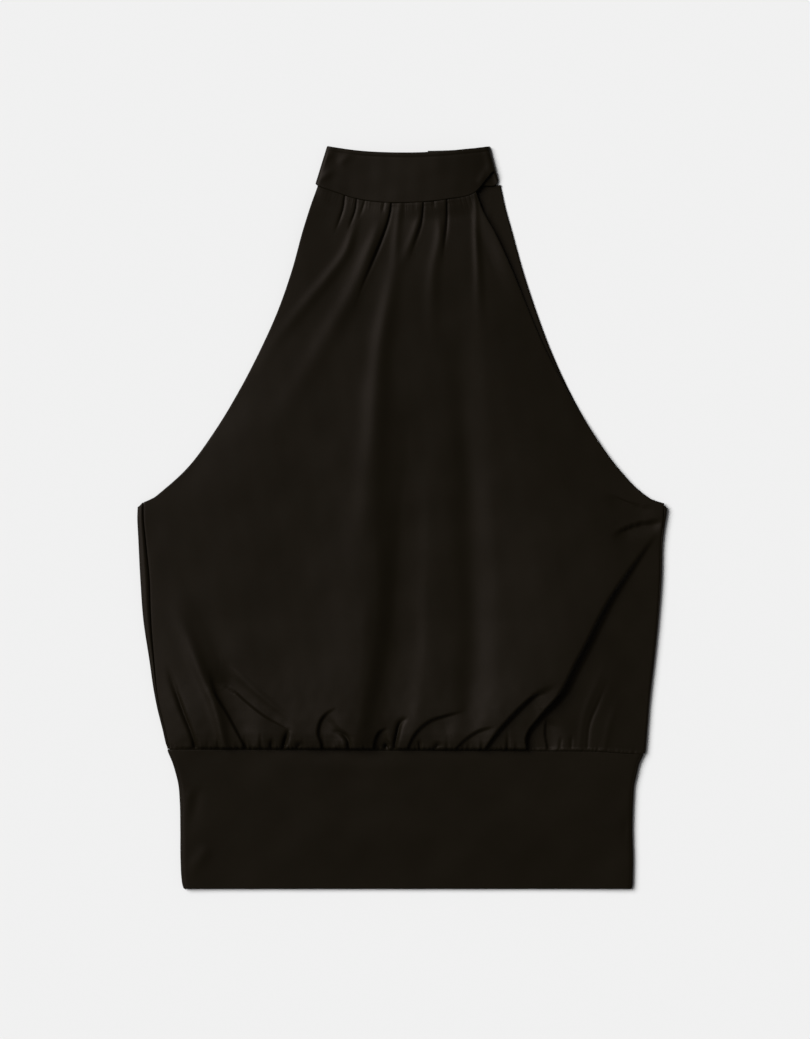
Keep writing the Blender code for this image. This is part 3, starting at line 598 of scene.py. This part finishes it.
def front_height(u, x, y, middle):
    """The height of the front's top face."""
    first, last = SIDES[0], ARMHOLES[-1]
    from_waist = y - first.left_y - (first.right_y - first.left_y) * seam_share(u)
    neck = last.left_y + (last.right_y - last.left_y) * u - neck_dip(u)
    from_neck = neck - y
    settle = (
        smooth_step(0.0, SEAM_SETTLE, from_waist)
        * smooth_step(-1.5, 1.5, from_neck)
        * edge_rise(x, y, EDGE_SETTLE)
    )
    low_part = 1.0 - smooth_step(8.0, 90.0, from_waist)
    edge = edge_level(u, y)
    base = edge + (middle - edge) * edge_rise(x, y, EDGE_SPREAD)
    base = base + (band_level(u) + 0.3 - base) * (1.0 - smooth_step(-0.6, 1.8, from_waist))
    neck_level = np.interp(x, NECK_X, NECK_Z) - 0.45
    base = base + 0.9 * (1.0 - smooth_step(0.05, 0.6, u)) * smooth_step(150.0, 230.0, y)
    base = base + (neck_level - base) * (1.0 - smooth_step(0.0, 16.0, from_neck))
    uneven = unevenness(x, y, FRONT_WAVE) + unevenness(x, y, FRONT_RIPPLE)
    uneven = uneven + low_part * unevenness(x, y, WAIST_RIPPLE)
    crest, sunk = deep_fold(x, y)
    height = base + settle * (all_folds(FOLDS, x, y) + crest + uneven)
    side = edge + (FLAT_SIDE - EDGE_HEIGHT) * smooth_step(0.0, 0.12, 1.0 - u)
    side = side + unevenness(x, y, SIDE_WAVE)
    sunk = sunk * smooth_step(-0.6, 2.0, from_waist)
    height = height + (side + all_folds(SIDE_FOLDS, x, y) - height) * sunk
    pinched = gathers(u, from_waist, WAIST_GATHER)
    pinched = pinched + ticks(x, from_waist) * smooth_step(-0.3, 0.8, from_waist)
    height = height + pinched * (1.0 - 0.92 * sunk)
    height = height + gathers(u, from_neck, NECK_GATHER)
    return np.maximum(height, LOWEST_TOP)


def part_mesh(name, vertices, faces, material):
    data = bpy.data.meshes.new(name)
    data.from_pydata((np.asarray(vertices) * MM).tolist(), [], faces)
    data.update()
    data.shade_smooth()
    data.materials.append(material)
    piece = bpy.data.objects.new(name, data)
    bpy.context.scene.collection.objects.link(piece)
    return piece


def stitch(lower, upper):
    """Faces between two rows of vertices that may differ in number."""
    if len(lower) == len(upper):
        return list(zip(lower[:-1], lower[1:], upper[1:], upper[:-1]))
    faces = []
    i = j = 0
    while i < len(lower) - 1 or j < len(upper) - 1:
        if (i + 1) / (len(lower) - 1) <= (j + 1) / (len(upper) - 1):
            faces.append((lower[i], lower[i + 1], upper[j]))
            i += 1
        else:
            faces.append((lower[i], upper[j + 1], upper[j]))
            j += 1
    return faces


def add_row(vertices, faces, row, last):
    """Add a row of vertices, and its faces to the last row."""
    indices = range(len(vertices), len(vertices) + len(row))
    vertices += list(row)
    if last:
        faces += stitch(indices, last)
    return indices


def turned_edge(point, outward):
    """Points of an edge that turns under and back below the cloth, from the edge outwards."""
    points = []
    for k in range(1, HEM_STEPS + 1):
        angle = math.pi * k / HEM_STEPS
        reach, drop = HEM_RADIUS * math.sin(angle), HEM_RADIUS * (1.0 - math.cos(angle))
        points.append(point + np.append(outward * reach, -drop))
    points.append(point + np.append(-outward * HEM_TURN, -2.0 * HEM_RADIUS))
    return points


def front_rows():
    """For each row: its ends, dip, middle and number of columns."""
    low = spaced_places(SIDES[: FINE_SIDES + 1], SEAM_ROW)
    high = FINE_SIDES + spaced_places(SIDES[FINE_SIDES:], BODY_ROW)[1:]
    places = np.concatenate((low, high))
    left, right, rest = side_sections(places)
    rows = []
    for k, place in enumerate(places):
        ends = left[k] + (rest[k][0], 0.0), right[k] - (rest[k][1], 0.0)
        columns = SEAM_COLUMNS if place <= FINE_SIDES else BODY_COLUMNS
        rows.append((*ends, 0.0, rest[k][2], columns))
    places = spaced_places(ARMHOLES, BODY_ROW)[1:]
    left, right = armhole_edges(places)
    rest = through(columns_of(ARMHOLES, "dip", "middle"), places)
    rows += [(left[k], right[k], *rest[k], BODY_COLUMNS) for k in range(len(places))]
    return rows


def build_front(material):
    grid, stops = [], []
    for left, right, dip, middle, columns in front_rows():
        u = np.linspace(0.0, 1.0, columns + 1)
        share = seam_share(u) if columns == SEAM_COLUMNS else u
        x = left[0] + (right[0] - left[0]) * u
        y = left[1] + (right[1] - left[1]) * share - dip * neck_dip(u)
        grid.append((u, x, y, np.full_like(u, middle)))
        stops.append(columns + 1)
    u, x, y, middle = np.concatenate(grid, axis=1)
    points = np.column_stack((x, y, front_height(u, x, y, middle)))
    rows = np.split(points, np.cumsum(stops)[:-1])
    # the seams' edges turn under, before the first row and after the last
    before = np.array([turned_edge(p, np.array((0.0, -1.0))) for p in rows[0]])
    after = np.array([turned_edge(p, np.array((0.0, 1.0))) for p in rows[-1]])
    rows = [before[:, k] for k in range(HEM_STEPS, -1, -1)] + rows
    rows = rows + [after[:, k] for k in range(HEM_STEPS + 1)]
    vertices, faces, last = [], [], None
    for row in rows:
        left = turned_edge(row[0], np.array((-1.0, 0.0)))[::-1]
        right = turned_edge(row[-1], np.array((1.0, 0.0)))
        first = len(vertices)
        vertices += [*left, *row, *right]
        a, b = first + len(left), first + len(left) + len(row)
        parts = range(first, a + 1), range(a, b), range(b - 1, len(vertices))
        if last:
            for lower, upper in zip(last, parts):
                faces += stitch(lower, upper)
        last = parts
    return part_mesh("front_cloth", vertices, faces, material)


def edge_places(count, length):
    """Places from 0 to 1, closer together where an edge of doubled cloth rounds off."""
    rim = np.array((0.0, 0.06, 0.22, 0.5, 0.8)) * BAND_SHELL / length
    inner = np.linspace(BAND_SHELL / length, 1.0 - BAND_SHELL / length, count)
    return np.concatenate((rim, inner, 1.0 - rim[::-1]))


def grid_normals(points):
    across, along = np.gradient(points, axis=1), np.gradient(points, axis=0)
    normals = np.cross(across, along)
    return normals / np.maximum(np.linalg.norm(normals, axis=2, keepdims=True), 1e-9)


def border_distance(points):
    """How far each point of a grid lies from the grid's border, along its rows and columns."""
    distance = np.full(points.shape[:2], np.inf)
    for axis in (0, 1):
        gaps = np.linalg.norm(np.diff(points, axis=axis), axis=2)
        ahead = np.cumsum(gaps, axis=axis)
        pad = np.zeros((1, gaps.shape[1])) if axis == 0 else np.zeros((gaps.shape[0], 1))
        run = np.concatenate((pad, ahead), axis=axis)
        end = run[-1:, :] if axis == 0 else run[:, -1:]
        distance = np.minimum(distance, np.minimum(run, end - run))
    return distance


def slab(name, outer, material):
    """A sheet of doubled cloth under a grid of outer points, with its edges rounded off."""
    normals = grid_normals(outer)
    share = np.clip(border_distance(outer) / (0.5 * BAND_SHELL), 0.0, 1.0)
    half = 0.5 * BAND_SHELL * np.sqrt(1.0 - (1.0 - share) ** 2)[:, :, None]
    core = outer - normals * 0.5 * BAND_SHELL
    upper, lower = core + normals * half, core - normals * half
    rows, columns = outer.shape[:2]
    top = np.arange(rows * columns).reshape(rows, columns)
    under = top.copy()
    under[1:-1, 1:-1] = rows * columns + np.arange((rows - 2) * (columns - 2)).reshape(rows - 2, -1)
    vertices = np.concatenate((upper.reshape(-1, 3), lower[1:-1, 1:-1].reshape(-1, 3)))
    faces = []
    for a, b in zip(top[:-1], top[1:]):
        faces += zip(a[:-1].tolist(), a[1:].tolist(), b[1:].tolist(), b[:-1].tolist())
    for a, b in zip(under[:-1], under[1:]):
        faces += zip(a[:-1].tolist(), b[:-1].tolist(), b[1:].tolist(), a[1:].tolist())
    return part_mesh(name, vertices, faces, material)


def build_waistband_front(material):
    left, right = (edge[::-1] for edge in band_edges(BAND_ROWS))
    u = edge_places(BAND_COLUMNS, BAND_WIDTH)[None, :]
    x = left[:, :1] + BAND_OVERLAP + (right[:, :1] - left[:, :1] - 2.0 * BAND_OVERLAP) * u
    y = left[:, 1:] + (right[:, 1:] - left[:, 1:]) * seam_share(u)
    top = BANDS[0].left_y + (BANDS[0].right_y - BANDS[0].left_y) * seam_share(u)
    from_edge = np.minimum(u, 1.0 - u) * BAND_WIDTH
    settle = smooth_step(0.0, 9.0, from_edge) * smooth_step(0.0, 6.0, top - y)
    relief = all_folds(BAND_FOLDS, x, y) + unevenness(x, y, BAND_WAVE)
    z = band_level(u) + settle * relief + gathers(u, top - y, BAND_GATHER)
    reach = np.clip(1.0 - (BAND_OVERLAP + from_edge) / BAND_DIP_REACH, 0.0, 1.0)
    z = np.maximum(z, BAND_LOWEST) + BAND_LIFT - BAND_DIP * reach**2
    return slab("waistband_front_cloth", np.dstack((x, y, z)), material)


def side_fold(outline, seam, inward, gap):
    """A side fold's section, from the seam on top, round the outline, to the underside."""
    radius = EDGE_HEIGHT / 2.0
    start = seam - inward * gap
    strip = abs(outline - start)
    first = math.asin(1.0 - strip / radius) if strip < radius else 0.0
    level = outline + inward * (radius - strip if strip < radius else radius)
    swell = min(0.9, 0.14 * abs(outline + inward * radius - start)) if strip > radius else 0.0

    def on_arc(angle):
        across = outline + inward * radius * (1.0 - math.sin(angle))
        return across, radius * (1.0 + math.cos(angle))

    section = []
    for s in (0.0, 0.04, 0.12, 0.25, 0.4, 0.6, 0.8):
        if strip > radius:
            rise = swell * math.sin(math.pi * s) - 0.7 * (1.0 - s) ** 6
            section.append((start + (level - start) * s, EDGE_HEIGHT + rise))
        else:
            across, height = on_arc(first + 0.3 * s * (math.pi - first))
            section.append((across, height - 0.5 * (1.0 - s) ** 6))
    begin = 0.0 if strip > radius else first + 0.3 * (math.pi - first)
    return section + [on_arc(angle) for angle in np.linspace(begin, math.pi, SIDE_STEPS + 1)]


def folded_section(left, right, strip_left, strip_right, gap, columns):
    """One row of a back piece: left side fold, flat underside, right side fold."""
    before = side_fold(left[0], left[0] + strip_left, 1.0, gap)
    after = side_fold(right[0], right[0] - strip_right, -1.0, gap)[::-1]
    inner = np.linspace(before[-1][0], after[0][0], columns + 1)[1:-1]
    section = before + [(x, 0.0) for x in inner] + after
    slope = (right[1] - left[1]) / (right[0] - left[0])
    return np.array([(x, left[1] + slope * (x - left[0]), z) for x, z in section])


def build_waistband_back(material):
    rows = [
        folded_section(left, right, BAND_STRIP, BAND_STRIP, SEAM_GAP, BAND_BACK_COLUMNS)
        for left, right in zip(*band_edges(BAND_BACK_ROWS))
    ]
    return slab("waistband_back_cloth", np.array(rows), material)


def underside_relief(x, y):
    """Shallow troughs of the back's underside, which otherwise rests flat."""
    field = unevenness(x, y, BACK_WAVE) + unevenness(x, y, BACK_RIPPLE)
    near_waist = 1.0 - smooth_step(8.0, 90.0, y - SIDES[0].left_y)
    return BACK_TROUGH * np.maximum(0.0, field - 0.35) * (0.45 + 0.55 * near_waist)


def build_back(material):
    left, right, rest = side_sections(spaced_places(SIDES, BACK_ROW))
    vertices, faces, last = [], [], None
    folded = len(side_fold(0.0, 10.0, 1.0, 0.0))
    for k in range(len(left)):
        row = folded_section(left[k], right[k], rest[k][0], rest[k][1], SIDE_GAP, BACK_COLUMNS)
        flat = row[:, 2] < 1e-6
        from_fold = np.minimum(row[:, 0] - left[k][0], right[k][0] - row[:, 0])
        lift = underside_relief(row[:, 0], row[:, 1]) * smooth_step(3.0, 30.0, from_fold)
        row[:, 2] += np.where(flat, lift, 0.0)
        corner = smooth_step(-9.0, 13.0, row[:, 1])
        outside = 1.0 - smooth_step(0.0, 8.0, from_fold)
        row[:, 1] -= UNDERARM_ROUND * corner * outside**2
        last = add_row(vertices, faces, row, last)
    # above the underarms the back has no side folds, so its rows go on from the underside
    last = last[folded + 1 : len(last) - folded - 1]
    places = spaced_places(ARMHOLES, BACK_ROW)[1:]
    left = through(columns_of(ARMHOLES, "left_x", "left_y"), places)
    right = through(columns_of(ARMHOLES, "back_x", "back_y"), places)
    for k, place in enumerate(places):
        start = left[k][0] + BACK_INSET * min(1.0, place)
        left_y = left[k][1] + (right[k][1] - left[k][1]) * smooth_step(8.0, 11.0, place)
        u = np.linspace(0.0, 1.0, len(last))
        x = start + (right[k][0] - start) * u
        y = left_y + (right[k][1] - left_y) * u
        from_edge = np.minimum(u, 1.0 - u) * (right[k][0] - start)
        lift = underside_relief(x, y) * smooth_step(0.0, 25.0, from_edge)
        last = add_row(vertices, faces, np.column_stack((x, y, lift)), last)
    tuck = [(x, y + BACK_TUCK[0], BACK_TUCK[1]) for x, y, z in vertices[last[0] : last[-1] + 1]]
    add_row(vertices, faces, tuck, last)
    back = part_mesh("back_cloth", vertices, faces, material)
    wall = back.modifiers.new("cloth thickness", "SOLIDIFY")
    wall.thickness = BACK_SHELL * MM
    wall.offset = -1.0
    return back


def cut_slit(back):
    """The centre back slit is cut through the cloth, and its edges stay where they were cut."""
    run = np.subtract(SLIT_TOP, SLIT_FOOT)
    middle = np.add(SLIT_TOP, SLIT_FOOT) / 2.0
    cutter = bmesh.new()
    bmesh.ops.create_cube(cutter, size=1.0)
    scale = Vector((math.hypot(*run), SLIT_WIDTH, SLIT_CUT)) * MM
    bmesh.ops.scale(cutter, vec=scale, verts=cutter.verts)
    data = bpy.data.meshes.new("slit_cutter")
    cutter.to_mesh(data)
    cutter.free()
    tool = bpy.data.objects.new("slit_cutter", data)
    bpy.context.scene.collection.objects.link(tool)
    tool.location = (middle[0] * MM, middle[1] * MM, 0.5 * MM)
    tool.rotation_euler[2] = math.atan2(run[1], run[0])
    cut = back.modifiers.new("slit", "BOOLEAN")
    cut.operation = "DIFFERENCE"
    cut.object = tool
    bpy.context.view_layer.update()
    deps = bpy.context.evaluated_depsgraph_get()
    cut_mesh = bpy.data.meshes.new_from_object(back.evaluated_get(deps))
    back.modifiers.clear()
    back.data = cut_mesh
    bpy.data.objects.remove(tool)


def build_neckband(material):
    stations = NECK_BACK + NECK_FRONT + NECK_LAP
    pairs = zip(stations[:-1], stations[1:])
    lengths = [math.hypot(a.top_x - b.top_x, a.height - b.height) for a, b in pairs]
    total = sum(lengths)
    stops = np.concatenate(([0.0], np.cumsum(lengths))) / total
    wanted = edge_places(NECK_COLUMNS, total)
    places = np.interp(wanted, stops, np.arange(len(stations)))
    tops = through(columns_of(stations, "top_x", "top_y", "height"), places)
    lows = through(columns_of(stations, "low_x", "low_y", "height"), places)
    level = np.maximum(np.maximum(tops[:, 2], lows[:, 2]), 0.0)
    tops[:, 2] = lows[:, 2] = level
    across = edge_places(NECK_ROWS, NECK_TALL)
    outer = lows[:, None, :] + (tops - lows)[:, None, :] * across[None, :, None]
    first, last = len(NECK_BACK) - 0.6, len(NECK_BACK) + len(NECK_FRONT) - 1.0
    on_front = smooth_step(first, first + 0.8, places) * (1.0 - smooth_step(last - 0.6, last, places))
    x, y = outer[:, :, 0], outer[:, :, 1]
    from_top = np.linalg.norm(tops - lows, axis=1)[:, None] * (1.0 - across[None, :])
    # a shallow groove under the rolled top edge
    groove = -0.3 * np.exp(-(((from_top - 4.2) / 0.7) ** 2))
    groove = groove + 0.15 * np.exp(-(((from_top - 2.2) / 1.2) ** 2))
    relief = all_folds(NECK_FOLDS, x, y) + unevenness(x, y, NECK_WAVE) + groove
    outer = outer + grid_normals(outer) * (relief * on_front[:, None])[:, :, None]
    return slab("neckband_cloth", outer, material)


def build_threads(material):
    """The sewing that holds each button, and the stitched ends of its buttonhole."""
    vertices, faces = [], []
    half = BUTTON_HOLE_PITCH / 2.0
    for y in BUTTON_YS:
        for side in (-1.0, 1.0):
            for lane in BUTTON_LANES:
                start = Vector((BUTTON_X - half, y + side * half + lane, 0.0))
                points = []
                for s in np.linspace(0.0, 1.0, 9).tolist():
                    rise = 0.75 - 0.42 * math.sin(math.pi * s)
                    points.append(start + Vector((2.0 * half * s, 0.0, rise)))
                add_tube(vertices, faces, points, BUTTON_THREAD)
        for end in (-1.0, 1.0):
            for k in range(STITCH_COUNT):
                x = BUTTON_X + end * (BUTTONHOLE_END + STITCH_PITCH * k)
                ys = y + STITCH_LENGTH * np.linspace(-0.5, 0.5, 5)
                points = [Vector((x, across, BUTTONHOLE_LEVEL)) for across in ys.tolist()]
                add_tube(vertices, faces, points, STITCH_THREAD)
    return part_mesh("button_threads", vertices, faces, material)


def add_tube(vertices, faces, points, radius, sides=6):
    """A thread through points that run along X or Y."""
    rings = []
    for k, point in enumerate(points):
        ahead = points[min(k + 1, len(points) - 1)] - points[max(k - 1, 0)]
        side = ahead.cross(Vector((0.0, 0.0, 1.0))).normalized()
        up = side.cross(ahead).normalized()
        rings.append(range(len(vertices), len(vertices) + sides))
        for j in range(sides):
            angle = 2.0 * math.pi * j / sides
            vertices.append(point + side * math.cos(angle) * radius + up * math.sin(angle) * radius)
    for a, b in zip(rings[:-1], rings[1:]):
        for j in range(sides):
            n = (j + 1) % sides
            faces.append((a[j], a[n], b[n], b[j]))
    faces.append(tuple(rings[0][::-1]))
    faces.append(tuple(rings[-1]))


def new_material(name):
    material = bpy.data.materials.new(name)
    material.use_nodes = True
    return material, material.node_tree, material.node_tree.nodes["Principled BSDF"]


def set_values(node, values):
    """Set the sockets that the keys name."""
    for name, value in values.items():
        node.inputs[name].default_value = value


def add_texture(tree, kind, values):
    """A texture that is fixed to the piece's own coordinates."""
    texture = tree.nodes.new("ShaderNodeTex" + kind)
    set_values(texture, values)
    place = tree.nodes.new("ShaderNodeTexCoord")
    tree.links.new(place.outputs["Object"], texture.inputs["Vector"])
    return texture


def combine(tree, operation, first, second):
    node = tree.nodes.new("ShaderNodeMath")
    node.operation = operation
    tree.links.new(first, node.inputs[0])
    tree.links.new(second, node.inputs[1])
    return node.outputs["Value"]


def vary_colour(tree, shader, texture, dark, light, span=(0.0, 1.0)):
    """The base colour goes from dark to light over a span of the texture's values."""
    ramp = tree.nodes.new("ShaderNodeValToRGB")
    for element, position, colour in zip(ramp.color_ramp.elements, span, (dark, light)):
        element.position = position
        element.color = (*colour, 1.0)
    tree.links.new(texture.outputs["Fac"], ramp.inputs["Fac"])
    tree.links.new(ramp.outputs["Color"], shader.inputs["Base Color"])


def vary_roughness(tree, shader, texture, low, high):
    rough = tree.nodes.new("ShaderNodeMapRange")
    set_values(rough, {"To Min": low, "To Max": high})
    tree.links.new(texture.outputs["Fac"], rough.inputs["Value"])
    tree.links.new(rough.outputs["Result"], shader.inputs["Roughness"])


def add_bump(tree, shader, height, strength, distance):
    bump = tree.nodes.new("ShaderNodeBump")
    set_values(bump, {"Strength": strength, "Distance": distance})
    tree.links.new(height, bump.inputs["Height"])
    tree.links.new(bump.outputs["Normal"], shader.inputs["Normal"])


def satin_crepe(name):
    """Near-black satin crepe: a fine pebbled weave, with a sheen that varies softly."""
    material, tree, shader = new_material(name)
    broad = add_texture(tree, "Noise", {"Scale": 26.0, "Detail": 3.0})
    grain = add_texture(tree, "Noise", {"Scale": 1400.0, "Detail": 2.0})
    threads = []
    for direction, scale in (("X", 640.0), ("Y", 460.0)):
        values = {"Scale": scale, "Distortion": 1.6, "Detail": 1.0, "Detail Scale": 1.2}
        wave = add_texture(tree, "Wave", values)
        wave.bands_direction = direction
        threads.append(wave.outputs["Fac"])
    weave = combine(tree, "MULTIPLY", *threads)
    relief = combine(tree, "ADD", weave, grain.outputs["Fac"])
    dark, light = (0.0049, 0.0037, 0.0018), (0.0059, 0.0045, 0.0023)
    vary_colour(tree, shader, broad, dark, light, (0.3, 0.75))
    vary_roughness(tree, shader, broad, 0.41, 0.49)
    add_bump(tree, shader, relief, 0.22, 0.00012)
    shader.inputs["Specular IOR Level"].default_value = 0.07
    shader.inputs["Specular Tint"].default_value = (1.0, 0.84, 0.78, 1.0)
    shader.inputs["Sheen Weight"].default_value = 0.01
    shader.inputs["Sheen Roughness"].default_value = 0.35
    shader.inputs["Sheen Tint"].default_value = (1.0, 0.93, 0.82, 1.0)
    return material


def moulded_button(name):
    material, tree, shader = new_material(name)
    cloud = add_texture(tree, "Noise", {"Scale": 420.0, "Detail": 4.0})
    vary_colour(tree, shader, cloud, (0.008, 0.0075, 0.007), (0.019, 0.017, 0.015))
    vary_roughness(tree, shader, cloud, 0.2, 0.34)
    shader.inputs["Specular IOR Level"].default_value = 0.25
    return material


def thread_material(name):
    material, tree, shader = new_material(name)
    twist = add_texture(tree, "Wave", {"Scale": 900.0})
    twist.bands_direction = "DIAGONAL"
    vary_colour(tree, shader, twist, (0.006, 0.0055, 0.005), (0.016, 0.015, 0.013))
    add_bump(tree, shader, twist.outputs["Fac"], 0.4, 0.00006)
    shader.inputs["Roughness"].default_value = 0.6
    shader.inputs["Specular IOR Level"].default_value = 0.1
    return material


FLOOR_HALF = 6000.0
FLOOR_DROP = 0.2
FILL = 0.14
KEY = 4.3
KEY_SPREAD = 42.0
KEY_RUN = (0.62, -0.36, -0.70)  # the way that the key light travels


def floor_and_light():
    material, tree, shader = new_material("pale_floor")
    shader.inputs["Base Color"].default_value = (0.8, 0.8, 0.8, 1.0)
    shader.inputs["Roughness"].default_value = 0.9
    shader.inputs["Specular IOR Level"].default_value = 0.0
    corners = [(FLOOR_HALF * i, FLOOR_HALF * j, 0.0) for i, j in ((-1, -1), (1, -1), (1, 1), (-1, 1))]
    floor = part_mesh("floor", corners, [(0, 1, 2, 3)], material)
    floor.location.z = -FLOOR_DROP * MM

    world = bpy.data.worlds.new("studio")
    bpy.context.scene.world = world
    world.use_nodes = True
    sky = world.node_tree.nodes["Background"]
    sky.inputs["Color"].default_value = (1.0, 1.0, 1.0, 1.0)
    sky.inputs["Strength"].default_value = FILL

    key = bpy.data.lights.new("key", "SUN")
    key.energy = KEY
    key.angle = math.radians(KEY_SPREAD)
    lamp = bpy.data.objects.new("key", key)
    lamp.rotation_euler = Vector(KEY_RUN).to_track_quat("-Z", "Y").to_euler()
    bpy.context.scene.collection.objects.link(lamp)


def camera():
    """Straight above, with the photograph's frame."""
    lens = bpy.data.cameras.new("camera")
    lens.lens = 85.0
    lens.sensor_width = 36.0
    lens.clip_end = 20.0
    eye = bpy.data.objects.new("camera", lens)
    tall = PHOTO_SIZE[1] * PHOTO_SCALE * MM
    centre_x = (PHOTO_SIZE[0] / 2.0 - PHOTO_ORIGIN[0]) * PHOTO_SCALE * MM
    centre_y = (PHOTO_ORIGIN[1] - PHOTO_SIZE[1] / 2.0) * PHOTO_SCALE * MM
    eye.location = (centre_x, centre_y, tall * lens.lens / lens.sensor_width + EDGE_HEIGHT * MM)
    bpy.context.scene.collection.objects.link(eye)
    bpy.context.scene.camera = eye


camera()
floor_and_light()
bpy.context.scene.view_settings.view_transform = "Standard"

cloth = satin_crepe("satin_crepe")
button_material = moulded_button("moulded_button")

front = build_front(cloth)
back = build_back(cloth)
cut_slit(back)
waistband_front = build_waistband_front(cloth)
waistband_back = build_waistband_back(cloth)
neckband = build_neckband(cloth)
threads = build_threads(thread_material("sewing_thread"))

PIECES = (
    (front, "front_panel"),
    (back, "back_panel"),
    (waistband_front, "waistband_front"),
    (waistband_back, "waistband_back"),
    (neckband, "neckband"),
)
for piece, node in PIECES:
    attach(piece, "root")
    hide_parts(node)
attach(threads, "root")

for name in ("button_upper", "button_lower"):
    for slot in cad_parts[name].material_slots:
        slot.material = button_material
